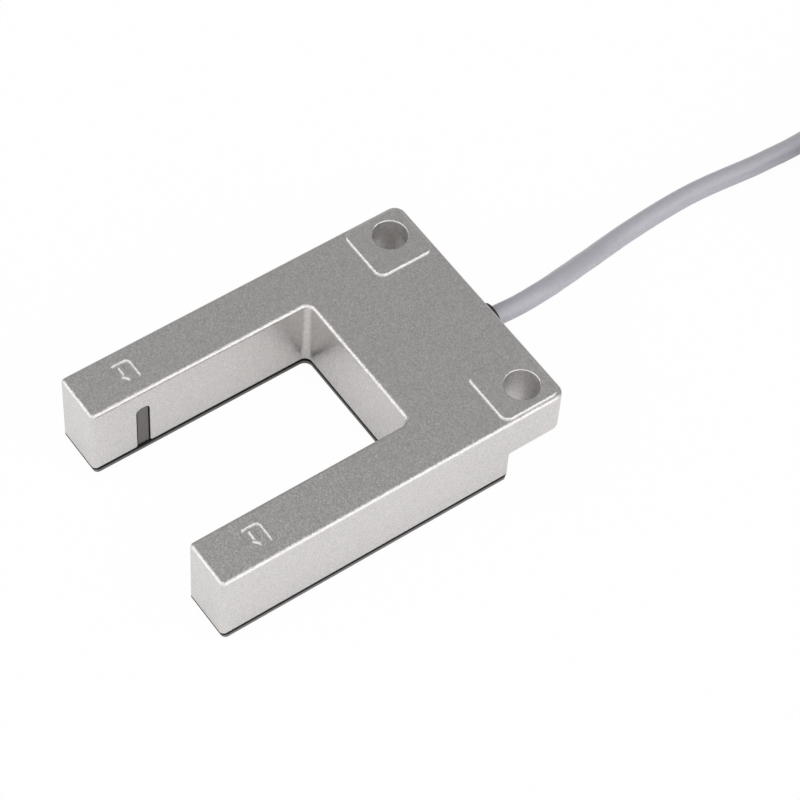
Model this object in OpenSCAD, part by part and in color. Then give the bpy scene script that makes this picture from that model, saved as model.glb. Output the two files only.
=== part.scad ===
// Fork light barrier: a U-shaped die-cast housing whose two arms face each other across a gap.
// The emitter sits in the -X arm and the receiver in the +X arm. The cable leaves at the rear, +Y.
// Millimetres. The origin is the middle of the underside, and +Z points up out of the top face.

/* [Housing] */
// Width across both arms
body_w = 50.3; // [45:0.1:60]
// Width of one arm
arm_w = 10.15; // [9.4:0.05:13]
// Length from the arm tips to the rear face
body_l = 70.8; // [62:0.1:90]
// Length of the bridge that joins the arms, from the fork's root to the rear face
bridge_l = 26.2; // [24:0.1:32]
// Height of the casting without the cover
body_h = 15.1; // [14.8:0.05:22]
// Thickness of the side walls
wall = 1.6; // [1.2:0.1:1.9]
// Thickness of the top wall
roof = 1.5; // [1.2:0.1:1.9]
// Rounding along the top edges
edge_r = 0.65; // [0.3:0.05:0.7]
// Rounding of the upright edges at the arm tips
tip_r = 0.9; // [0.9:0.1:1.6]
// Rounding of the two rear corners
rear_r = 2.2; // [1:0.1:2.5]
// Rounding in the two corners of the fork's root
fork_r = 1.5; // [0.8:0.1:3]

/* [Mounting ears] */
// Length of an ear, from the rear face forwards
ear_l = 11.15; // [10:0.05:13]
// Width of an ear, from the side inwards
ear_w = 12.25; // [11:0.05:13.5]
// Thickness of an ear
ear_t = 9; // [5:0.1:10]
// Rounding between an ear and the walls below it
ear_r = 0.5; // [0.3:0.1:0.8]
// Rounding in the upright corner below an ear
step_r = 1.6; // [1.5:0.1:2.5]
// Rounding of the two upright edges below an ear
heel_r = 0.9; // [0.9:0.1:1.6]
// Height of the raised pad on an ear
pad_h = 0.4; // [0.35:0.05:0.8]
// Width of a pad
pad_w = 11.75; // [10:0.05:12.5]
// Length of a pad
pad_l = 11.9; // [10:0.1:14]
// Distance of a pad from the side of the housing
pad_side = 0.7; // [0.7:0.05:1.4]
// Distance of a pad from the rear face
pad_back = 0.8; // [0.8:0.05:1.4]
// Rounding of a pad's corners
pad_r = 1.7; // [0.8:0.1:2.2]
// Rounding along a pad's top edge
pad_edge_r = 0.35; // [0.05:0.01:0.35]
// Diameter of a mounting hole, clear for M6
hole_d = 6.4; // [5:0.1:6.8]
// Distance of a mounting hole's middle from the side of the housing
hole_side = 5.5; // [5:0.05:6.5]
// Distance of the mounting holes from the rear face
hole_back = 5.65; // [5:0.05:6.5]
// Chamfer at a hole's rim
hole_chamfer = 0.12; // [0.05:0.01:0.3]

/* [Cover and seal] */
// Thickness of the bottom cover
cover_t = 1.15; // [0.8:0.05:1.6]
// How far the cover's edge stands back from the walls
cover_inset = 0.1; // [0:0.05:0.2]
// How far the cover's ends stand back from the arm tips
cover_tip_inset = 0.4; // [0.1:0.05:1]
// Thickness of the sealing bead
seal_t = 0.45; // [0.2:0.05:0.7]
// How far the bead stands back from the walls
seal_inset = 0; // [0:0.05:0.5]
// Height of the cover's locating rib inside the walls
lip_h = 1.2; // [0.8:0.1:1.6]
// Thickness of the locating rib
lip_t = 1; // [0.6:0.1:1.2]

/* [Light path] */
// Width of the light slot
slot_w = 2.75; // [2.4:0.05:3.4]
// Height of the light slot in the casting
slot_h = 10.6; // [9.5:0.05:10.8]
// Rounding of the slot's upper corners
slot_r = 1.05; // [0.8:0.05:1.2]
// Distance of the light slot from the arm tips
slot_back = 10.25; // [9.8:0.05:14]
// Rounding of the slot's mouth
mouth_r = 0.45; // [0.2:0.05:1]
// How far the window stands back from the wall
window_recess = 0.2; // [0.05:0.01:0.3]
// Thickness of the sealing bead round the window
bead_t = 0.24; // [0.1:0.01:0.35]
// Thickness of the window's flange inside the wall
flange_t = 0.9; // [0.6:0.1:1.1]
// How far the window's flange overlaps the slot's sides
flange_lap = 1.1; // [0.8:0.1:1.4]
// Height of the light beam above the casting's lower edge
beam_h = 5.15; // [4.8:0.05:5.8]

/* [Arrow marks] */
// Length of a mark's pocket across the arm
mark_w = 4.5; // [4:0.05:6]
// Width of a mark's pocket along the arm
mark_l = 3.65; // [3.2:0.05:5]
// Depth of the pocket, and height of the arrow in it
mark_t = 0.35; // [0.3:0.05:0.45]
// Rounding of the pocket's corners
mark_r = 0.8; // [0.4:0.05:1.2]
// Rounding along the pocket's rim
mark_edge_r = 0.28; // [0.05:0.01:0.3]
// Distance of the marks from the arm tips
mark_back = 10.05; // [6:0.05:20]

/* [Circuit board] */
// Thickness of the circuit board
board_t = 0.8; // [0.6:0.1:1]
// Room between the board and the roof
board_room = 1; // [0.9:0.1:1.3]
// Diameter of the bosses that carry the board
boss_d = 4.2; // [3.6:0.1:4.8]
// Thread diameter of the board's screws
screw_d = 1.6; // [1.4:0.1:1.8]
// Length of the board's screws
screw_l = 2.2; // [2:0.1:2.5]

/* [Cable] */
// Diameter of the cable
cable_d = 3.8; // [3.4:0.1:3.8]
// Height of the cable's middle above the casting's lower edge
cable_h = 6.5; // [6.3:0.05:7.3]
// Diameter of the grommet's collar outside the wall
collar_d = 5.9; // [5.5:0.1:7]
// Length of the collar
collar_l = 3.3; // [2.5:0.1:4.2]
// Diameter of the grommet's neck in the wall
neck_d = 5; // [4.6:0.1:5.2]
// Diameter of one insulated conductor
lead_d = 1.1; // [0.9:0.05:1.15]
// Diameter of a conductor's bare strands
strand_d = 0.7; // [0.5:0.05:0.8]

/* [Hidden] */
$fn = 48;
lap = 0.5;

// Fits
fit = 0.15;
tight_fit = 0.05;
board_gap = 0.35;
bead_fit = 0.02;

// Levels, from the surface below the part upwards
metal_z = cover_t + seal_t;
top_z = metal_z + body_h;
roof_z = top_z - roof;
ear_z = top_z - ear_t;
board_top = roof_z - board_room;
board_z = board_top - board_t;
beam_z = metal_z + beam_h;
slot_top = metal_z + slot_h;
lip_top = metal_z + lip_h;
cable_z = metal_z + cable_h;

// Places in plan
half_w = body_w / 2;
half_gap = half_w - arm_w;
tip_y = -body_l / 2;
rear_y = body_l / 2;
fork_y = rear_y - bridge_l;
step_y = rear_y - ear_l;
tail_w = half_w - ear_w;
arm_x = (half_w + half_gap) / 2;
slot_y = tip_y + slot_back;
hole_x = half_w - hole_side;
hole_y = rear_y - hole_back;
corner_spare = 0.1;
cavity_r = 0.8;

// The plan of the whole casting, moved inwards by d, and by e at the arm tips, as corners [x, y, rounding]
function fork_part(d, e) = [
    [-half_w + d, tip_y + e, outer_r(tip_r, d)],
    [-half_gap - d, tip_y + e, outer_r(tip_r, d)],
    [-half_gap - d, fork_y + d, fork_r + d],
    [half_gap + d, fork_y + d, fork_r + d],
    [half_gap + d, tip_y + e, outer_r(tip_r, d)],
    [half_w - d, tip_y + e, outer_r(tip_r, d)]
];
function outer_r(r, d) = max(r - d, edge_r + corner_spare, d > 0 ? cavity_r + corner_spare : 0);
top_plan = concat(fork_part(0, 0), [
    [half_w, rear_y, outer_r(rear_r, 0)],
    [-half_w, rear_y, outer_r(rear_r, 0)]
]);

// The plan below the ears, where only a tail between them reaches the rear face
function base_plan(d, e) = concat(fork_part(d, e), [
    [half_w - d, step_y - d, outer_r(heel_r, d)],
    [tail_w - d, step_y - d, step_r + d],
    [tail_w - d, rear_y - d, outer_r(heel_r, d)],
    [-tail_w + d, rear_y - d, outer_r(heel_r, d)],
    [-tail_w + d, step_y - d, step_r + d],
    [-half_w + d, step_y - d, outer_r(heel_r, d)]
]);
function inset_plan(d) = base_plan(d, d);
function box_plan(x0, y0, x1, y1, r) = [[x0, y0, r], [x1, y0, r], [x1, y1, r], [x0, y1, r]];

// Helpers for plans with rounded right-angled corners, listed anticlockwise
function flat(c) = [c.x, c.y];
function before(plan, i) = flat(plan[(i + len(plan) - 1) % len(plan)]);
function after(plan, i) = flat(plan[(i + 1) % len(plan)]);
function unit(v) = v / norm(v);
function way_in(plan, i) = unit(flat(plan[i]) - before(plan, i));
function way_out(plan, i) = unit(after(plan, i) - flat(plan[i]));
function bulges(plan, i) = cross(way_in(plan, i), way_out(plan, i)) > 0;

// What a rounding of radius r takes off the corner p between the ways u and v
module spandrel(p, u, v, r) {
    middle = p + (v - u) * r;
    reach = (u - v) * (r + lap);
    difference() {
        translate(middle) polygon([[0, 0], [reach.x, 0], reach, [0, reach.y]]);
        translate(middle) circle(r);
    }
}

module corner_spandrel(plan, i) {
    spandrel(flat(plan[i]), way_in(plan, i), way_out(plan, i), plan[i][2]);
}

// A hollow corner is filled with a square, and its rounding is then cut out of that
function corner_points(plan, i) = let (
    p = flat(plan[i]),
    u = way_in(plan, i) * plan[i][2],
    v = way_out(plan, i) * plan[i][2]
) bulges(plan, i) || plan[i][2] == 0 ? [p] : [p - u, p - u + v, p + v];

module rounded(plan) {
    last = len(plan) - 1;
    difference() {
        polygon([for (i = [0:last]) each corner_points(plan, i)]);
        for (i = [0:last]) if (plan[i][2] > 0) {
            if (bulges(plan, i)) corner_spandrel(plan, i);
            else translate(corner_points(plan, i)[1]) circle(plan[i][2]);
        }
    }
}

// The sliver between an edge and its rounding, for the wall at x = 0 and the top at y = 0
module edge_sliver(r) {
    difference() {
        translate([-r, -r]) square(r + lap);
        translate([-r, -r]) circle(r);
    }
}

// Everything that a rounding of radius r takes off the top edge of an upright wall on a plan
module edge_cut(plan, r) {
    last = len(plan) - 1;
    for (i = [0:last]) {
        next = (i + 1) % len(plan);
        u = way_out(plan, i);
        finish = flat(plan[next]) - u * plan[next][2];
        run = norm(flat(plan[next]) - flat(plan[i])) - plan[i][2] - plan[next][2];
        heading = atan2(u.y, u.x);
        translate(finish) rotate([90, 0, heading - 90]) linear_extrude(run) edge_sliver(r);
    }
    for (i = [0:last]) {
        u = way_in(plan, i);
        middle = flat(plan[i]) + (way_out(plan, i) - u) * plan[i][2];
        heading = atan2(u.y, u.x);
        outwards = bulges(plan, i);
        translate(middle) rotate(outwards ? heading - 90 : heading) rotate_extrude(angle = 90)
            translate([plan[i][2], 0]) mirror([outwards ? 0 : 1, 0]) edge_sliver(r);
    }
}

// A prism on a plan from z0 up to z1, with its top edge rounded
module soft_prism(plan, z0, z1, r) {
    difference() {
        translate([0, 0, z0]) linear_extrude(z1 - z0) rounded(plan);
        translate([0, 0, z1]) edge_cut(plan, r);
    }
}

module prism(plan, z0, z1) {
    translate([0, 0, z0]) linear_extrude(z1 - z0) rounded(plan);
}

// A drawing in the YZ plane, extruded along +X from x0
module across(x0, length) {
    translate([x0, 0, 0]) rotate([90, 0, 90]) linear_extrude(length) children();
}

module both_sides() {
    children();
    mirror([1, 0, 0]) children();
}

// Housing: one casting, open below
module pad() {
    x1 = half_w - pad_side;
    y1 = rear_y - pad_back;
    soft_prism(box_plan(x1 - pad_w, y1 - pad_l, x1, y1, pad_r), top_z - lap, top_z + pad_h, pad_edge_r);
}

// The room below an ear. Beside it, the plan follows the side and rear faces, to round the edges there.
module ear_relief() {
    reach = 2 * heel_r + 2 * ear_r;
    far_r = ear_r + corner_spare;
    heel = outer_r(heel_r, 0);
    soft_prism([
        [tail_w - reach, rear_y, far_r], [tail_w, rear_y, heel], [tail_w, step_y, step_r],
        [half_w, step_y, heel], [half_w, step_y - reach, far_r], [half_w + reach, step_y - reach, far_r],
        [half_w + reach, rear_y + reach, far_r], [tail_w - reach, rear_y + reach, far_r]
    ], metal_z - lap, ear_z, ear_r);
}

module mounting_hole() {
    top = top_z + pad_h;
    translate([hole_x, hole_y, ear_z - lap]) cylinder(h = top - ear_z + 2 * lap, d = hole_d);
    translate([hole_x, hole_y, top - hole_chamfer])
        cylinder(h = hole_chamfer + lap, d1 = hole_d, d2 = hole_d + 2 * (hole_chamfer + lap));
    translate([hole_x, hole_y, ear_z - lap])
        cylinder(h = hole_chamfer + lap, d1 = hole_d + 2 * (hole_chamfer + lap), d2 = hole_d);
}

// A slot's outline with an arched top, standing on from_z
module slot_shape(width, from_z, to_z, r) {
    rounded([[-width / 2, from_z, 0], [width / 2, from_z, 0], [width / 2, to_z, r], [-width / 2, to_z, r]]);
}

module light_slot() {
    translate([0, slot_y, 0]) across(half_gap - lap, wall + 2 * lap) {
        slot_shape(slot_w, metal_z - lap, slot_top, slot_r);
        spandrel([slot_w / 2, metal_z], [-1, 0], [0, 1], mouth_r);
        spandrel([-slot_w / 2, metal_z], [0, -1], [-1, 0], mouth_r);
    }
}

// Arrow mark: a shallow pocket with a soft rim, and in it an arrow from the emitter to the receiver
module arrow_pocket(x) {
    plan = box_plan(-mark_w / 2, -mark_l / 2, mark_w / 2, mark_l / 2, mark_r);
    rim = [for (i = [len(plan) - 1:-1:0]) plan[i]];
    translate([x, tip_y + mark_back, top_z]) {
        translate([0, 0, -mark_t]) linear_extrude(mark_t + lap) rounded(plan);
        edge_cut(rim, mark_edge_r);
    }
}

// The arrow is a shaft and a head, whose long sides lean back as they rise from the pocket's floor
module arrow(x) {
    shaft_w = 1.15;
    shaft_l = 2.05;
    head_w = 2.15;
    head_l = 1.3;
    lean = 0.8;
    root = 0.1;
    crest_z = -0.05;
    root_z = -mark_t - root;
    foot = lean * root;
    crest = lean * (mark_t + crest_z);
    slant = atan2(head_w / 2, head_l);
    half_shaft = shaft_w / 2;
    module head_flank() {
        translate([shaft_l, -head_w / 2, 0]) rotate(slant) across(-head_w, 4 * head_w)
            polygon([[-foot, root_z], [2 * head_w, root_z], [2 * head_w, crest_z], [crest, crest_z]]);
    }
    translate([x - (shaft_l + head_l) / 2, tip_y + mark_back, top_z]) {
        across(0, shaft_l + lap) polygon([
            [-half_shaft - foot, root_z], [half_shaft + foot, root_z],
            [half_shaft - crest, crest_z], [-half_shaft + crest, crest_z]
        ]);
        intersection() {
            translate([shaft_l, -head_w, root_z]) cube([2 * head_l, 2 * head_w, crest_z - root_z]);
            head_flank();
            mirror([0, 1, 0]) head_flank();
        }
    }
}

// The four places where the board is screwed to the roof
screw_tip_back = 4.6;
screw_tail_side = 4.4;
screw_tail_back = 6.8;
screw_tail_x = tail_w - screw_tail_side;
screw_places = [
    [arm_x, tip_y + screw_tip_back], [-arm_x, tip_y + screw_tip_back],
    [screw_tail_x, rear_y - screw_tail_back], [-screw_tail_x, rear_y - screw_tail_back]
];

module boss(depth, d) {
    for (p = screw_places) translate([p.x, p.y, board_top]) cylinder(h = depth, d = d);
}

module housing() {
    screw_room = 0.3;
    pilot = screw_l - board_t + screw_room;
    color("silver") difference() {
        union() {
            difference() {
                union() {
                    soft_prism(top_plan, metal_z, top_z, edge_r);
                    both_sides() pad();
                }
                both_sides() ear_relief();
                both_sides() mounting_hole();
                both_sides() light_slot();
                arrow_pocket(arm_x);
                arrow_pocket(-arm_x);
                soft_prism(inset_plan(wall), metal_z - lap, roof_z, cavity_r);
                translate([0, rear_y + lap, cable_z]) rotate([90, 0, 0])
                    cylinder(h = wall + 2 * lap, d = neck_d + 2 * tight_fit);
            }
            arrow(arm_x);
            arrow(-arm_x);
            boss(board_room + lap, boss_d);
        }
        translate([0, 0, -lap]) boss(pilot + lap, screw_d + 2 * tight_fit);
    }
}

// Sealing bead between the walls and the cover, and the cover with its locating rib
module cover_seal() {
    color("black") difference() {
        prism(inset_plan(seal_inset), cover_t, metal_z);
        prism(inset_plan(wall), cover_t - lap, metal_z + lap);
    }
}

module bottom_cover() {
    rib = wall + fit;
    color("dimgray") {
        prism(base_plan(cover_inset, cover_tip_inset), 0, cover_t);
        difference() {
            prism(inset_plan(rib), cover_t / 2, lip_top);
            prism(inset_plan(rib + lip_t), cover_t / 4, lip_top + lap);
        }
    }
}

// Light path: the window in the slot with its bead, and behind it the holder with the emitter or receiver.
// Each is drawn in the +X arm.
flange_x = half_gap + wall;
flange_top = board_z - fit;
flange_r = 0.6;
plug_w = slot_w - 2 * bead_t;
plug_top = slot_top - bead_t;
plug_r = slot_r - bead_t;
bead_recess = 0.08;
holder_gap = 0.2;
holder_wall = 0.6;
holder_x = flange_x + flange_t + holder_gap;
optic_size = [2.4, 4.4, 5.6];
optic_axis = 1.8;
optic_z = beam_z - optic_axis;
optic_x = holder_x + holder_wall + tight_fit;
lens_r = 0.75;
pin_t = 0.5;
pin_pitch = 2.54;
pin_x = optic_x + optic_size.x / 2;
pin_out = 0.7;
pin_hole = 0.9;

module window() {
    flange_w = slot_w + 2 * flange_lap;
    translate([0, slot_y, 0]) {
        across(half_gap + window_recess, wall - window_recess) slot_shape(plug_w, metal_z, plug_top, plug_r);
        across(flange_x, flange_t)
            rounded(box_plan(-flange_w / 2, lip_top + fit, flange_w / 2, flange_top, flange_r));
        across(flange_x - wall / 2, wall / 2 + flange_t / 2)
            slot_shape(plug_w, lip_top + 2 * fit, plug_top, plug_r);
    }
}

module window_bead() {
    foot_w = slot_w + 2 * mouth_r;
    translate([0, slot_y, 0]) across(half_gap + bead_recess, wall - bead_recess) difference() {
        union() {
            slot_shape(slot_w - 2 * bead_fit, metal_z, slot_top - bead_fit, slot_r - bead_fit);
            translate([-foot_w / 2, metal_z]) square([foot_w, mouth_r]);
        }
        both_sides() translate([foot_w / 2, metal_z + mouth_r]) circle(mouth_r + bead_fit);
        slot_shape(plug_w + 2 * bead_fit, metal_z - lap, plug_top + bead_fit, plug_r + bead_fit);
    }
}

module holder() {
    room = optic_size + 2 * tight_fit * [1, 1, 0];
    size = room + 2 * holder_wall * [1, 1, 0];
    floor_z = optic_z - holder_wall;
    difference() {
        translate([holder_x, slot_y - size.y / 2, floor_z]) cube([size.x, size.y, board_z - floor_z]);
        translate([holder_x + holder_wall, slot_y - room.y / 2, optic_z])
            cube([room.x, room.y, board_z - optic_z + lap]);
        translate([holder_x - lap, slot_y, beam_z]) rotate([0, 90, 0])
            cylinder(h = holder_wall + 2 * lap, r = lens_r + fit);
    }
}

module side_lens_optic() {
    translate([optic_x, slot_y - optic_size.y / 2, optic_z]) cube(optic_size);
    translate([optic_x, slot_y, beam_z]) sphere(lens_r);
    pin_foot = optic_z + optic_size.z - pin_t;
    for (s = [-1, 1])
        translate([pin_x - pin_t / 2, slot_y + s * pin_pitch / 2 - pin_t / 2, pin_foot])
            cube([pin_t, pin_t, board_top + pin_out - pin_foot]);
}

module emitter_window() {
    color("#3a3634") mirror([1, 0, 0]) window();
}

module receiver_window() {
    color("#3a3634") window();
}

module window_seals() {
    color("black") both_sides() window_bead();
}

module emitter_holder() {
    color("#202020") mirror([1, 0, 0]) holder();
}

module receiver_holder() {
    color("#202020") holder();
}

module emitter_led() {
    color("#8f9fc8") mirror([1, 0, 0]) side_lens_optic();
}

module receiver_phototransistor() {
    color("#241f2e") side_lens_optic();
}

// Circuit board, screwed under the roof, with its parts on the lower face
bridge_y = (fork_y + step_y) / 2;
part_side = 5.5;
outer_part_x = half_w - wall - part_side;
inner_part_x = outer_part_x / 2;
jacket_inside = 5.9;
jacket_back = wall + jacket_inside;
jacket_y = rear_y - jacket_back;
lead_pitch = 2.6;
lead_run = 7;
lead_y = jacket_y - lead_run;

module main_board() {
    color("darkgreen") difference() {
        prism(inset_plan(wall + board_gap), board_z, board_top);
        for (p = screw_places) translate([p.x, p.y, board_z - lap])
            cylinder(h = board_t + 2 * lap, d = screw_d + 4 * fit);
        both_sides() for (s = [-1, 1]) translate([pin_x, slot_y + s * pin_pitch / 2, board_z - lap])
            cylinder(h = board_t + 2 * lap, d = pin_hole);
        for (k = [-1:1]) translate([k * lead_pitch, lead_y, board_z - lap])
            cylinder(h = board_t + 2 * lap, d = strand_d + 2 * fit);
    }
}

module board_screws() {
    head_d = 3.6;
    head_h = 1.2;
    drive_d = 1.4;
    color("silver") for (p = screw_places) translate([p.x, p.y, board_z]) {
        cylinder(h = screw_l, d = screw_d);
        difference() {
            translate([0, 0, -head_h]) cylinder(h = head_h, d = head_d);
            translate([0, 0, -head_h - lap]) cylinder(h = lap + head_h / 2, d = drive_d, $fn = 6);
        }
    }
}

// Puts a part on the board's lower face, with its own foot at z = 0
module under_board(x, y) {
    translate([x, y, board_z]) mirror([0, 0, 1]) children();
}

module block(size) {
    translate([-size.x / 2, -size.y / 2, 0]) cube(size);
}

module gull_pins(count, pitch, row, width) {
    foot = 0.8;
    thick = 0.2;
    rise = 0.5;
    for (i = [0:count - 1]) translate([(i - (count - 1) / 2) * pitch, row, 0]) {
        translate([-width / 2, 0, 0]) cube([width, foot, thick]);
        translate([-width / 2, -foot / 2, 0]) cube([width, foot / 2 + thick, rise + thick]);
    }
}

part_lift = 0.1;
pin_step = 0.2;

// A moulded part with pins along its two long sides
module pinned_part(size, front_pins, rear_pins) {
    translate([0, 0, part_lift]) block(size);
    gull_pins(front_pins[0], front_pins[1], size.y / 2 + pin_step, front_pins[2]);
    mirror([0, 1, 0]) gull_pins(rear_pins[0], rear_pins[1], size.y / 2 + pin_step, rear_pins[2]);
}

// A moulded part with one broad contact at each end
module capped_part(size, cap) {
    overlap = cap.x / 2;
    translate([0, 0, part_lift]) block(size);
    both_sides() translate([size.x / 2 - overlap, -cap.y / 2, 0]) cube(cap);
}

module controller_chip() {
    row = [7, 0.65, 0.25];
    color("#2b2b2b") under_board(-inner_part_x, bridge_y) pinned_part([5, 4.4, 1], row, row);
}

module output_transistor() {
    tab = [1, 0, 3];
    color("#2b2b2b") under_board(inner_part_x, bridge_y) pinned_part([6.5, 3.5, 1.6], [3, 2.3, 0.7], tab);
}

module voltage_regulator() {
    tab = [1, 0, 1.7];
    color("#2b2b2b") under_board(outer_part_x, bridge_y) pinned_part([4.5, 2.5, 1.5], [3, 1.5, 0.45], tab);
}

module protection_diode() {
    color("#303030") under_board(0, bridge_y) capped_part([4.3, 2.6, 2.1], [1.1, 1.4, 0.9]);
}

module filter_capacitor() {
    color("#c98a1b") under_board(-outer_part_x, bridge_y) capped_part([7.3, 4.3, 2.8], [0.9, 2.4, 1.6]);
}

// Rows of small chips along both arms
chip_rows = 4;
chip_pitch = 5;
chip_start = 6;
chip_side = 1.4;
chip_places = [for (row = [0:chip_rows - 1]) fork_y - chip_start - row * chip_pitch];
resistor_size = [1.25, 2, 0.5];
capacitor_size = [1.25, 2, 1.1];

module chip_resistors() {
    color("#3b3b3b") both_sides() for (y = chip_places)
        under_board(arm_x - chip_side, y) block(resistor_size);
}

module chip_capacitors() {
    color("#a07c58") both_sides() for (y = chip_places)
        under_board(arm_x + chip_side, y) block(capacitor_size);
}

// Cable entry: the grommet in the rear wall, the end of the jacket in it, and a crimped sleeve inside
inner_flange_t = 1.2;
inner_flange_d = 7;
sleeve_l = 3;
sleeve_t = 0.6;

// Turns a profile of [radius, distance behind the rear face] about the cable's axis
module about_cable() {
    translate([0, rear_y, cable_z]) rotate([-90, 0, 0]) rotate_extrude() children();
}

module cable_grommet() {
    bore = cable_d / 2 + tight_fit;
    end_r = 0.25;
    color("#1c1c1c") about_cable() difference() {
        union() {
            translate([0, -wall - inner_flange_t]) square([inner_flange_d / 2, inner_flange_t]);
            translate([0, -wall - lap]) square([neck_d / 2, wall + 2 * lap]);
            difference() {
                square([collar_d / 2, collar_l]);
                translate([collar_d / 2, collar_l]) edge_sliver(end_r);
            }
        }
        translate([-lap, -wall - inner_flange_t - lap])
            square([bore + lap, wall + inner_flange_t + collar_l + 2 * lap]);
    }
}

module crimp_sleeve() {
    bore = cable_d / 2 + tight_fit;
    color("goldenrod") about_cable() translate([bore, -wall - inner_flange_t - fit - sleeve_l])
        square([sleeve_t, sleeve_l]);
}

module cable_end() {
    color("#8f8e96") about_cable() translate([0, -jacket_back]) square([cable_d / 2, jacket_back]);
}

// The three conductors fan out from the jacket to their holes in the board
core_ring = 0.7;
core_turns = [210, 90, 330];
lead_straight = [0, 2, 0];
lead_rise = [0, 1.2, -2.2];
lead_foot = [0, 0, 1];
solder_out = 0.5;

module inner_lead(k) {
    turn = core_turns[k + 1];
    start = [core_ring * cos(turn), jacket_y, cable_z + core_ring * sin(turn)];
    foot = [k * lead_pitch, lead_y, board_z];
    tube([start, start - lead_straight, foot + lead_rise, foot - lead_foot, foot], lead_d / 2, [1, 0, 0]);
    translate(foot - [0, 0, lap]) cylinder(h = lap + board_t + solder_out, d = strand_d);
}

module inner_lead_brown() {
    color("saddlebrown") inner_lead(-1);
}

module inner_lead_black() {
    color("#181818") inner_lead(0);
}

module inner_lead_blue() {
    color("royalblue") inner_lead(1);
}

// Cable outside: a run on the floor, then a tied coil of two full layers and a narrower third
cord_r = cable_d / 2;
exit_point = [0, rear_y, cable_z];
cord_route = [
    [0, 39, 8.1], [0.25, 43, 8.1], [0.25, 46, 8.1], [0, 49, 7.9], [-0.5, 52, 7.3], [-1.2, 55, 6.6],
    [-2, 58, 5.6], [-2.9, 61, 4.6], [-3.7, 64, 3.6], [-4.5, 67, 2.8], [-5.1, 70, 2.3], [-5.6, 73, 2],
    [-5.9, 76, 1.9], [-6.2, 80, 1.9], [-6.4, 84, 1.9], [-6.5, 88, 1.9], [-6.4, 92, 1.9], [-6.1, 96, 1.9],
    [-5.7, 100, 1.9], [-5.3, 104, 1.9], [-5.1, 108, 1.9], [-4.9, 112, 1.9], [-4.9, 117, 2], [-4.9, 122, 2.2]
];
coil_middle = [24.4, 137.5];
coil_r = 21.6;
coil_pitch = 3.85;
tie_t = 0.8;
coil_in = coil_r - 2.5 * coil_pitch;
coil_out = coil_r + 2.5 * coil_pitch;
coil_step = coil_r - 0.5 * coil_pitch;
layer_z = tie_t + 2 * coil_pitch;
coil_top = tie_t + 3 * coil_pitch;

// One ring of a tube round route point i, square to the route, which never runs along aside
function ring(route, i, r, sides, aside) = let (
    a = route[max(i - 1, 0)],
    b = route[min(i + 1, len(route) - 1)],
    along = unit(b - a),
    side = unit(cross(along, aside)),
    up = cross(side, along)
) [for (k = [0:sides - 1]) route[i] + r * (cos(360 * k / sides) * side + sin(360 * k / sides) * up)];

module tube(route, r, aside) {
    sides = 8;
    last = len(route) - 1;
    points = [for (i = [0:last]) each ring(route, i, r, sides, aside)];
    walls = [for (i = [0:last - 1], k = [0:sides - 1]) let (
        a = i * sides + k,
        b = i * sides + (k + 1) % sides
    ) each [[a, b, b + sides], [a, b + sides, a + sides]]];
    start = [for (k = [sides - 1:-1:0]) k];
    finish = [for (k = [0:sides - 1]) last * sides + k];
    polyhedron(points, concat(walls, [start, finish]));
}

module cord_run() {
    color("#8f8e96") tube(concat([exit_point], cord_route), cord_r, [0, 0, 1]);
}

module about_coil(turn, angle) {
    translate(coil_middle) rotate(turn) rotate_extrude(angle = angle) children();
}

module cord_coil() {
    turn_r = 1.5;
    color("#8f8e96") translate(coil_middle) rotate_extrude() rounded([
        [coil_in, tie_t, turn_r], [coil_out, tie_t, turn_r], [coil_out, coil_top, turn_r],
        [coil_step, coil_top, turn_r], [coil_step, layer_z, 0], [coil_in, layer_z, turn_r]
    ]);
}

module coil_ties() {
    tie_angle = 9;
    slack = tight_fit;
    inner = [
        [coil_in - slack, tie_t - slack], [coil_out + slack, tie_t - slack],
        [coil_out + slack, coil_top + slack], [coil_step - slack, coil_top + slack],
        [coil_in - slack, layer_z + slack]
    ];
    outer = [
        [coil_in - tie_t, 0], [coil_out + tie_t, 0], [coil_out + tie_t, coil_top + tie_t],
        [coil_step - tie_t / 2, coil_top + tie_t], [coil_in - tie_t, layer_z + tie_t / 2]
    ];
    color("#202020") for (turn = [-105, -20]) about_coil(turn, tie_angle) difference() {
        polygon(outer);
        polygon(inner);
    }
}

// The free ends of the three conductors lie on the coil's second layer, inside the third
lead_ring = coil_step - coil_pitch / 2;
lead_step = lead_d + fit;
lead_z = layer_z + lead_d / 2 + tight_fit;
lead_start = 180;
tip_l = 6;

function arc_angle(length, r) = length / r * 180 / PI;

module free_lead(k, length) {
    r = lead_ring + k * lead_step;
    angle = arc_angle(length, r);
    about_coil(lead_start - angle, angle) translate([r, lead_z]) circle(d = lead_d);
}

module free_tip(k, length) {
    r = lead_ring + k * lead_step;
    angle = arc_angle(tip_l, r);
    about_coil(lead_start - arc_angle(length, r) - angle, angle)
        translate([r, lead_z]) circle(d = strand_d);
}

lead_lengths = [44, 41, 38];

module lead_brown() {
    color("saddlebrown") free_lead(-1, lead_lengths[0]);
}

module lead_black() {
    color("#181818") free_lead(0, lead_lengths[1]);
}

module lead_blue() {
    color("royalblue") free_lead(1, lead_lengths[2]);
}

module lead_tips() {
    color("lightgray") for (k = [-1:1]) free_tip(k, lead_lengths[k + 1]);
}

housing();
cover_seal();
bottom_cover();
emitter_window();
receiver_window();
window_seals();
emitter_holder();
receiver_holder();
emitter_led();
receiver_phototransistor();
main_board();
board_screws();
controller_chip();
output_transistor();
voltage_regulator();
protection_diode();
filter_capacitor();
chip_resistors();
chip_capacitors();
cable_grommet();
crimp_sleeve();
cable_end();
inner_lead_brown();
inner_lead_black();
inner_lead_blue();
cord_run();
cord_coil();
coil_ties();
lead_brown();
lead_black();
lead_blue();
lead_tips();
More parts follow.
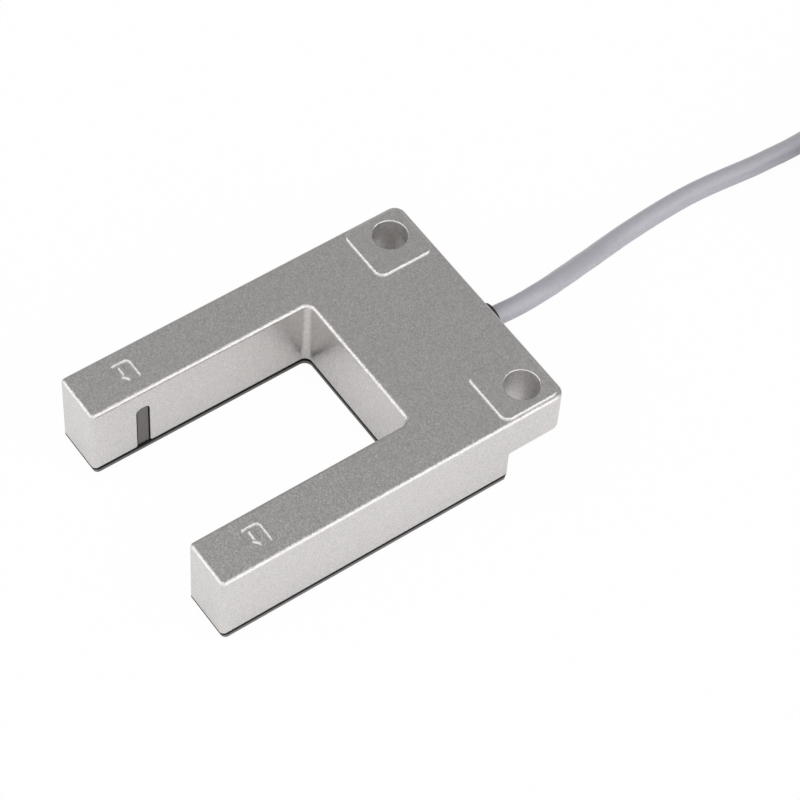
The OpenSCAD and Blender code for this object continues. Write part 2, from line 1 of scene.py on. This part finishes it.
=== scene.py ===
"""Looks of the fork light barrier: the finish of each solid, the cable, and a plain white studio."""
import math

import bmesh
import bpy
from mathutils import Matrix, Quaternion, Vector


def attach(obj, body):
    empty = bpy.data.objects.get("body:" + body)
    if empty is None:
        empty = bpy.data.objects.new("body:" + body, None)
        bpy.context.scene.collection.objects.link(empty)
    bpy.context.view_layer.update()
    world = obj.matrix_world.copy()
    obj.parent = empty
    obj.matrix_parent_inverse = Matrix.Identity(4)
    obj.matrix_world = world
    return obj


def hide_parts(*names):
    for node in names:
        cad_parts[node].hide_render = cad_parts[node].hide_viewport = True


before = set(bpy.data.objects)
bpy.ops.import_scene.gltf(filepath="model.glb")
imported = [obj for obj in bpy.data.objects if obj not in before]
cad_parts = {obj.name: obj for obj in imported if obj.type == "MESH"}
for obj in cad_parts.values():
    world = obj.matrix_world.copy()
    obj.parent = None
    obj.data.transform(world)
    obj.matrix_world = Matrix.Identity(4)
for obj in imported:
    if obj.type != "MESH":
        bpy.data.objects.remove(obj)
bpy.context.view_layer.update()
mm = 0.001

# Housing: one zinc die casting under a thin coat of silver metallic paint.
# The paint follows the grainy cast skin, and each of its flakes lies at a slightly different tilt.
# Real flakes are finer; these are just coarse enough to show. The bores of the mounting holes are duller.
flake_size = 0.21 * mm
flake_tilt = 0.14
level_flake = (0.5, 0.5, 0.5)
skin_size = 0.7 * mm
skin_detail = 3.0
skin_relief = 0.006 * mm
worn_edge = 0.1 * mm
edge_samples = 6
paint_roughness = 0.3
bore_roughness = 0.5
bore_r = 3.22 * mm
bore_middle = (19.65 * mm, 29.75 * mm, 0)


def linear(hex_colour):
    """An sRGB hex colour as the linear RGBA that a shader takes."""
    parts = [int(hex_colour[i:i + 2], 16) / 255 for i in (1, 3, 5)]
    return [c / 12.92 if c <= 0.04045 else ((c + 0.055) / 1.055) ** 2.4 for c in parts] + [1]


def surface(name, **constants):
    """A new material and its node tree, with constants set on the shader's own sockets."""
    material = bpy.data.materials.new(name)
    material.use_nodes = True
    shader = material.node_tree.nodes["Principled BSDF"]
    for socket, value in constants.items():
        shader.inputs[socket.replace("_", " ")].default_value = value
    return material, material.node_tree, shader


def add(tree, kind, sockets, **settings):
    """Adds a node. Each socket, by name or number, takes a value or another node's output."""
    made = tree.nodes.new(kind)
    for name, value in settings.items():
        setattr(made, name, value)
    for key, value in sockets.items():
        if isinstance(value, bpy.types.NodeSocket):
            tree.links.new(value, made.inputs[key])
        else:
            made.inputs[key].default_value = value
    return made


def dress(material, *nodes):
    """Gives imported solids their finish."""
    for name in nodes:
        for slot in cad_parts[name].material_slots:
            slot.material = material


silver_paint, tree, shader = surface("silver_paint_on_cast_zinc", Metallic=1.0)
place = add(tree, "ShaderNodeTexCoord", {}).outputs["Object"]
axes = add(tree, "ShaderNodeSeparateXYZ", {"Vector": place})
either_side = add(tree, "ShaderNodeMath", {0: axes.outputs["X"]}, operation="ABSOLUTE")
in_plan = add(tree, "ShaderNodeCombineXYZ", {"X": either_side.outputs["Value"], "Y": axes.outputs["Y"]})
from_bore = add(
    tree, "ShaderNodeVectorMath",
    {0: in_plan.outputs["Vector"], 1: bore_middle},
    operation="DISTANCE",
)
dullness = add(
    tree, "ShaderNodeMapRange",
    {
        "Value": from_bore.outputs["Value"], "From Min": bore_r, "From Max": bore_r + worn_edge,
        "To Min": bore_roughness, "To Max": paint_roughness,
    },
)
tree.links.new(dullness.outputs["Result"], shader.inputs["Roughness"])
flakes = add(tree, "ShaderNodeTexVoronoi", {"Vector": place, "Scale": 1 / flake_size})
skin = add(tree, "ShaderNodeTexNoise", {"Vector": place, "Scale": 1 / skin_size, "Detail": skin_detail})
flake_tone = add(tree, "ShaderNodeSeparateColor", {"Color": flakes.outputs["Color"]})
flake_colour = add(
    tree, "ShaderNodeMix",
    {"Factor": flake_tone.outputs["Red"], "A": linear("#cbc8c7"), "B": linear("#e2dfdd")},
    data_type="RGBA",
)
tree.links.new(flake_colour.outputs["Result"], shader.inputs["Base Color"])
soft_edge = add(tree, "ShaderNodeBevel", {"Radius": worn_edge}, samples=edge_samples)
cast_skin = add(
    tree, "ShaderNodeBump",
    {"Height": skin.outputs["Fac"], "Distance": skin_relief, "Normal": soft_edge.outputs["Normal"]},
)
tilt = add(
    tree, "ShaderNodeVectorMath",
    {0: flakes.outputs["Color"], 1: level_flake},
    operation="SUBTRACT",
)
small_tilt = add(
    tree, "ShaderNodeVectorMath",
    {0: tilt.outputs["Vector"], "Scale": flake_tilt},
    operation="SCALE",
)
tilted = add(
    tree, "ShaderNodeVectorMath",
    {0: cast_skin.outputs["Normal"], 1: small_tilt.outputs["Vector"]},
    operation="ADD",
)
flake_normal = add(tree, "ShaderNodeVectorMath", {0: tilted.outputs["Vector"]}, operation="NORMALIZE")
tree.links.new(flake_normal.outputs["Vector"], shader.inputs["Normal"])
dress(silver_paint, "housing")

# Windows: infrared-pass polycarbonate moulded almost black, set into the two light slots from inside.
# It lets hardly any visible light through, so it shows a smoky grey and a soft gloss.
# A thin bead of black silicone seals it all round.
grain_detail = 4.0
sealant_specular = 0.15


def moulded(name, dark, light, grain, relief, **constants):
    """A material mottled from dark to light in grains of one size, with a low relief."""
    material, tree, shader = surface(name, **constants)
    place = add(tree, "ShaderNodeTexCoord", {}).outputs["Object"]
    grains = add(tree, "ShaderNodeTexNoise", {"Vector": place, "Scale": 1 / grain, "Detail": grain_detail})
    tone = add(
        tree, "ShaderNodeMix",
        {"Factor": grains.outputs["Fac"], "A": linear(dark), "B": linear(light)},
        data_type="RGBA",
    )
    bump = add(tree, "ShaderNodeBump", {"Height": grains.outputs["Fac"], "Distance": relief})
    tree.links.new(tone.outputs["Result"], shader.inputs["Base Color"])
    tree.links.new(bump.outputs["Normal"], shader.inputs["Normal"])
    return material


smoked_window = moulded(
    "smoked_polycarbonate", "#575251", "#645f5d", 0.8 * mm, 0.002 * mm,
    Roughness=0.28,
)
sealant = moulded(
    "black_silicone_bead", "#060607", "#0e0e0f", 0.5 * mm, 0.006 * mm,
    Roughness=0.7, Specular_IOR_Level=sealant_specular,
)
dress(smoked_window, "emitter_window", "receiver_window")
dress(sealant, "window_seals")

# Optics: the emitter in clear bluish epoxy and the receiver in black daylight-filter epoxy.
# Each sits in a matt black moulded holder behind its window.
holder_plastic = moulded(
    "black_moulded_nylon", "#161616", "#242424", 0.3 * mm, 0.004 * mm,
    Roughness=0.6,
)
clear_epoxy = moulded("blue_tinted_epoxy", "#8496c4", "#a4b2d8", 0.9 * mm, 0.001 * mm, Roughness=0.12)
black_epoxy = moulded(
    "daylight_filter_epoxy", "#1d1826", "#2a2434", 0.9 * mm, 0.001 * mm,
    Roughness=0.15,
)
dress(holder_plastic, "emitter_holder", "receiver_holder")
dress(clear_epoxy, "emitter_led")
dress(black_epoxy, "receiver_phototransistor")

# Circuit board: green solder resist over glass laminate, with moulded and ceramic parts below it.
# Four zinc-plated screws hold it against the bosses of the roof.
solder_resist = moulded(
    "green_solder_resist", "#0f4a24", "#1c6636", 0.7 * mm, 0.006 * mm,
    Roughness=0.35,
)
chip_epoxy = moulded("black_chip_epoxy", "#1e1e1f", "#2e2e2f", 0.2 * mm, 0.003 * mm, Roughness=0.55)
ochre_resin = moulded("ochre_capacitor_resin", "#c08018", "#d69a35", 0.4 * mm, 0.002 * mm, Roughness=0.4)
tan_ceramic = moulded("fired_tan_ceramic", "#94714e", "#ad8a64", 0.3 * mm, 0.003 * mm, Roughness=0.5)
zinc_plate = moulded(
    "zinc_plated_steel", "#b9bbbd", "#d3d4d6", 0.3 * mm, 0.002 * mm,
    Metallic=1.0, Roughness=0.3,
)
dress(solder_resist, "main_board")
dress(zinc_plate, "board_screws")
dress(
    chip_epoxy,
    "controller_chip", "output_transistor", "voltage_regulator", "protection_diode", "chip_resistors",
)
dress(ochre_resin, "filter_capacitor")
dress(tan_ceramic, "chip_capacitors")

# Cover and seal: a dark grey moulded plate closes the casting from below.
# It is glued in a bead of black sealant, which shows as a thin line all round.
# The plate's upper 0.42 mm is painted black and made less glossy: painted shade that thickens the dark line
# under the casting's edge.
cover_t = 1.15 * mm
gap_shade_w = 0.42 * mm
gap_shade_fade = 0.1 * mm
gap_shade_black = "#0a0a0b"
cover_specular = 0.5
cover_plastic = moulded(
    "dark_grey_moulded_abs", "#686666", "#767474", 0.35 * mm, 0.006 * mm,
    Roughness=0.55,
)
tree = cover_plastic.node_tree
shader = tree.nodes["Principled BSDF"]
unshaded_grey = shader.inputs["Base Color"].links[0].from_socket
place = add(tree, "ShaderNodeTexCoord", {}).outputs["Object"]
height = add(tree, "ShaderNodeSeparateXYZ", {"Vector": place}).outputs["Z"]
# Painted shade: a black, less glossy band along the plate's upper edge, fading in over 0.1 mm, as if in the
# casting's shadow.
gap_shade = add(
    tree, "ShaderNodeMapRange",
    {"Value": height, "From Min": cover_t - gap_shade_w - gap_shade_fade, "From Max": cover_t - gap_shade_w},
)
gap_shaded = add(
    tree, "ShaderNodeMix",
    {"Factor": gap_shade.outputs["Result"], "A": unshaded_grey, "B": linear(gap_shade_black)},
    data_type="RGBA",
)
tree.links.new(gap_shaded.outputs["Result"], shader.inputs["Base Color"])
gap_shade_specular = add(
    tree, "ShaderNodeMapRange",
    {"Value": gap_shade.outputs["Result"], "To Min": cover_specular, "To Max": sealant_specular},
)
tree.links.new(gap_shade_specular.outputs["Result"], shader.inputs["Specular IOR Level"])
dress(cover_plastic, "bottom_cover")
dress(sealant, "cover_seal")

# Cable entry: a black rubber grommet in the rear wall, with a brass sleeve crimped round the jacket inside.
# Three insulated conductors run on from there to the board.
grommet_rubber = moulded(
    "black_moulded_rubber", "#1b1b1c", "#2a2a2b", 0.4 * mm, 0.006 * mm,
    Roughness=0.55,
)
sleeve_brass = moulded(
    "crimped_brass", "#b5924a", "#cdaa62", 0.5 * mm, 0.003 * mm,
    Metallic=1.0, Roughness=0.35,
)
dress(grommet_rubber, "cable_grommet")
dress(sleeve_brass, "crimp_sleeve")
lead_tones = {
    "brown": ("#5f3519", "#7a4a28"),
    "black": ("#171717", "#262626"),
    "blue": ("#1f52b4", "#3a70cf"),
}
lead_finish = {}
for colour, (dark, light) in lead_tones.items():
    lead_finish[colour] = moulded(
        colour + "_pvc_insulation", dark, light, 0.6 * mm, 0.003 * mm,
        Roughness=0.4,
    )
    dress(lead_finish[colour], "inner_lead_" + colour)

# Cable: a grey PVC jacket with a lavender tinge, 3.8 mm thick and 2 m long with its stripped ends.
# It drops from the grommet to the floor and runs off behind, where the rest lies in a tied coil.
# The points of the route and the sizes of the coil are in millimetres, and its angles in degrees.
cable_r = 1.9 * mm
route = [
    (0, 35.4, 8.1), (0, 39, 8.1), (0.25, 43, 8.1), (0.25, 46, 8.1), (0, 49, 7.9), (-0.5, 52, 7.3),
    (-1.2, 55, 6.6), (-2, 58, 5.6), (-2.9, 61, 4.6), (-3.7, 64, 3.6), (-4.5, 67, 2.8), (-5.1, 70, 2.3),
    (-5.6, 73, 2), (-5.9, 76, 1.9), (-6.2, 80, 1.9), (-6.4, 84, 1.9), (-6.5, 88, 1.9), (-6.4, 92, 1.9),
    (-6.1, 96, 1.9), (-5.7, 100, 1.9), (-5.3, 104, 1.9), (-5.1, 108, 1.9), (-4.9, 112, 1.9), (-4.9, 117, 2),
    (-4.9, 122, 2.2), (-4.9, 130, 2.6),
]
coil_middle = Vector((24.4, 137.5, 0))
coil_r = 21.6
coil_pitch = 3.85
tie_t = 0.8
coil_turns = [(column, 0) for column in (2, 1, 0, -1, -2)]
coil_turns += [(column, 1) for column in (-2, -1, 0, 1, 2)]
coil_turns += [(column, 2) for column in (2, 1, 0, -1)]
turn_steps = 24
jog_steps = 4
jacket_end = 180
curve_steps = 4
ring_steps = 7


def ease(t):
    """Leads from 0 to 1 with a gentle start and end."""
    return t * t * (3 - 2 * t)


def coil_place(turn):
    """Radius and height of a turn of the coil."""
    column, layer = coil_turns[turn]
    return Vector((coil_r + column * coil_pitch, tie_t + (layer + 0.5) * coil_pitch))


def round_coil(radius, height, degrees):
    """A point of the coil, at an angle about its middle."""
    angle = math.radians(degrees)
    return coil_middle + Vector((radius * math.cos(angle), radius * math.sin(angle), height))


def coil_points():
    """The turns of the coil, each of which steps over to the next one just before it closes."""
    points = []
    for turn in range(len(coil_turns) - 1):
        for step in range(turn_steps):
            t = max(0, step - turn_steps + jog_steps) / jog_steps
            radius, height = coil_place(turn).lerp(coil_place(turn + 1), ease(t))
            points.append(round_coil(radius, height, jacket_end - 360 * step / turn_steps))
    points.append(round_coil(*coil_place(len(coil_turns) - 1), jacket_end))
    return points


def wire(name, points, radius, material):
    """A round wire or cable along points given in millimetres."""
    curve = bpy.data.curves.new(name, "CURVE")
    curve.dimensions = "3D"
    curve.resolution_u = curve_steps
    curve.bevel_depth = radius
    curve.bevel_resolution = ring_steps
    curve.use_fill_caps = True
    spline = curve.splines.new("BEZIER")
    spline.bezier_points.add(len(points) - 1)
    for knot, point in zip(spline.bezier_points, points):
        knot.co = Vector(point) * mm
        knot.handle_left_type = "AUTO"
        knot.handle_right_type = "AUTO"
    piece = bpy.data.objects.new(name, curve)
    bpy.context.scene.collection.objects.link(piece)
    curve.materials.append(material)
    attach(piece, "root")
    return piece


jacket_pvc = moulded(
    "grey_pvc_jacket", "#a3a1a9", "#b0aeb6", 0.9 * mm, 0.006 * mm,
    Roughness=0.34, Specular_IOR_Level=1.0,
)
dress(jacket_pvc, "cable_end")
cable = wire("cable", route + coil_points(), cable_r, jacket_pvc)
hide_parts("cord_run", "cord_coil")

# Stripped end: three conductors with tinned strands come out of the jacket and rest on the coil.
# Two black plastic ties hold the coil.
lead_r = 0.55 * mm
lead_step = 1.25
lead_lift = 0.6
lead_rest = tie_t + 2 * coil_pitch + lead_lift
lead_lengths = {"brown": 44, "black": 41, "blue": 38}
core_ring = 0.7
core_turns = {"brown": 210, "black": 90, "blue": 330}
lead_inside = -2
lead_settles = 9


def lead_points(colour, aside):
    """A conductor's way, from inside the jacket's end down to its place on the coil."""
    jacket_r, jacket_z = coil_place(len(coil_turns) - 1)
    turn = math.radians(core_turns[colour])
    rest_r = jacket_r + aside * lead_step
    points = []
    for along in range(lead_inside, lead_lengths[colour] + 1):
        settled = ease(min(max(along / lead_settles, 0), 1))
        radius = (jacket_r + core_ring * math.cos(turn)) * (1 - settled) + rest_r * settled
        height = (jacket_z + core_ring * math.sin(turn)) * (1 - settled) + lead_rest * settled
        points.append(round_coil(radius, height, jacket_end - math.degrees(along / rest_r)))
    return points


tinned_copper = moulded(
    "tinned_copper", "#b9b7b0", "#d8d6d0", 0.2 * mm, 0.004 * mm,
    Metallic=1.0, Roughness=0.35,
)
tie_plastic = moulded("black_tie_plastic", "#151516", "#232324", 0.5 * mm, 0.004 * mm, Roughness=0.45)
for aside, (colour, finish) in enumerate(lead_finish.items(), -1):
    way = lead_points(colour, aside)
    lead = wire("stripped_lead_" + colour, way, lead_r, finish)
    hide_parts("lead_" + colour)
dress(tinned_copper, "lead_tips")
dress(tie_plastic, "coil_ties")

# Studio: a white floor in a round tent of white cloth, open behind on the left, where it is dim.
# Two large soft boxes stand to the right and in front. The camera sees the floor almost pure white.
# Seen in reflections, the floor glows white, and ambient occlusion dims that glow close to the part as a
# painted shadow.
floor_size = 3.0
floor_drop = 0.05 * mm
floor_white = 0.97
floor_gloss = 0.75
painted_shadow_reach = 60 * mm
painted_shadow_samples = 8
tent_cloth = 1.18
tent_dim = 0.395
dim_way = Vector((-1, 1, 0)).normalized()
dim_from = 0.1
dim_full = 0.42
soft_boxes = {
    "soft_box_right": {"place": (0.80, 0.35, 0.42), "size": 1.0, "power": 1.18},
    "soft_box_front": {"place": (-0.42, -0.80, 0.36), "size": 1.0, "power": 0.885},
}
object_middle = Vector((0, 0, 8)) * mm
pure_white = (1, 1, 1, 1)

shape = bmesh.new()
bmesh.ops.create_grid(shape, x_segments=1, y_segments=1, size=floor_size)
bmesh.ops.translate(shape, verts=shape.verts, vec=(0, 0, -floor_drop))
floor_mesh = bpy.data.meshes.new("floor")
shape.to_mesh(floor_mesh)
shape.free()
floor = bpy.data.objects.new("floor", floor_mesh)
bpy.context.scene.collection.objects.link(floor)
white_floor, tree, shader = surface("white_paper_floor", Base_Color=linear("#f2f2f2"), Roughness=0.9)
ray = add(tree, "ShaderNodeLightPath", {})
seen = add(
    tree, "ShaderNodeMath",
    {0: ray.outputs["Is Camera Ray"], 1: ray.outputs["Is Transmission Ray"]},
    operation="MAXIMUM",
)
# Painted shadow: ambient occlusion darkens the floor's glow in reflections near the part.
painted_contact_shadow = add(tree, "ShaderNodeAmbientOcclusion", {"Distance": painted_shadow_reach}, samples=painted_shadow_samples)
sheen = add(
    tree, "ShaderNodeMapRange",
    {"Value": painted_contact_shadow.outputs["AO"], "To Max": floor_gloss},
    interpolation_type="SMOOTHSTEP",
)
mirrored = add(
    tree, "ShaderNodeMath",
    {0: ray.outputs["Is Glossy Ray"], 1: sheen.outputs[0]},
    operation="MULTIPLY",
)
plain = add(
    tree, "ShaderNodeMath",
    {0: seen.outputs[0], 1: floor_white, 2: mirrored.outputs[0]},
    operation="MULTIPLY_ADD", use_clamp=True,
)
glow = add(tree, "ShaderNodeEmission", {"Color": pure_white, "Strength": 1.0})
mixed = add(
    tree, "ShaderNodeMixShader",
    {0: plain.outputs[0], 1: shader.outputs["BSDF"], 2: glow.outputs["Emission"]},
)
tree.links.new(mixed.outputs["Shader"], tree.nodes["Material Output"].inputs["Surface"])
floor_mesh.materials.append(white_floor)

world = bpy.data.worlds.new("white_cloth_tent")
world.use_nodes = True
tree = world.node_tree
direction = add(tree, "ShaderNodeTexCoord", {}).outputs["Generated"]
nearness = add(tree, "ShaderNodeVectorMath", {0: direction, 1: dim_way}, operation="DOT_PRODUCT")
cloth = add(
    tree, "ShaderNodeMapRange",
    {
        "Value": nearness.outputs["Value"], "From Min": dim_from, "From Max": dim_full,
        "To Min": tent_cloth, "To Max": tent_dim,
    },
    interpolation_type="SMOOTHSTEP",
)
tree.links.new(cloth.outputs["Result"], tree.nodes["Background"].inputs["Strength"])
tree.nodes["Background"].inputs["Color"].default_value = pure_white
bpy.context.scene.world = world

for name, box in soft_boxes.items():
    light = bpy.data.lights.new(name, "AREA")
    light.size = box["size"]
    light.energy = box["power"]
    lamp = bpy.data.objects.new(name, light)
    lamp.location = box["place"]
    lamp.rotation_mode = "QUATERNION"
    lamp.rotation_quaternion = (object_middle - lamp.location).to_track_quat("-Z", "Y")
    bpy.context.scene.collection.objects.link(lamp)

# Camera: a long lens high above the near arm, turned a little about its own axis.
# Its place was fitted to the edges that the photo shows.
camera_place = Vector((251.82, -184.71, 448.45)) * mm
camera_aim = Vector((5.63, 14.52, 8.0)) * mm
camera_roll = math.radians(4.53)
camera_lens = 140.19
camera_sensor = 36
camera_data = bpy.data.cameras.new("camera")
camera_data.lens = camera_lens
camera_data.sensor_width = camera_sensor
camera = bpy.data.objects.new("camera", camera_data)
camera.location = camera_place
camera.rotation_mode = "QUATERNION"
level = (camera_aim - camera_place).to_track_quat("-Z", "Y")
camera.rotation_quaternion = level @ Quaternion((0, 0, 1), camera_roll)
bpy.context.scene.collection.objects.link(camera)
bpy.context.scene.camera = camera
bpy.context.scene.view_settings.view_transform = "Standard"
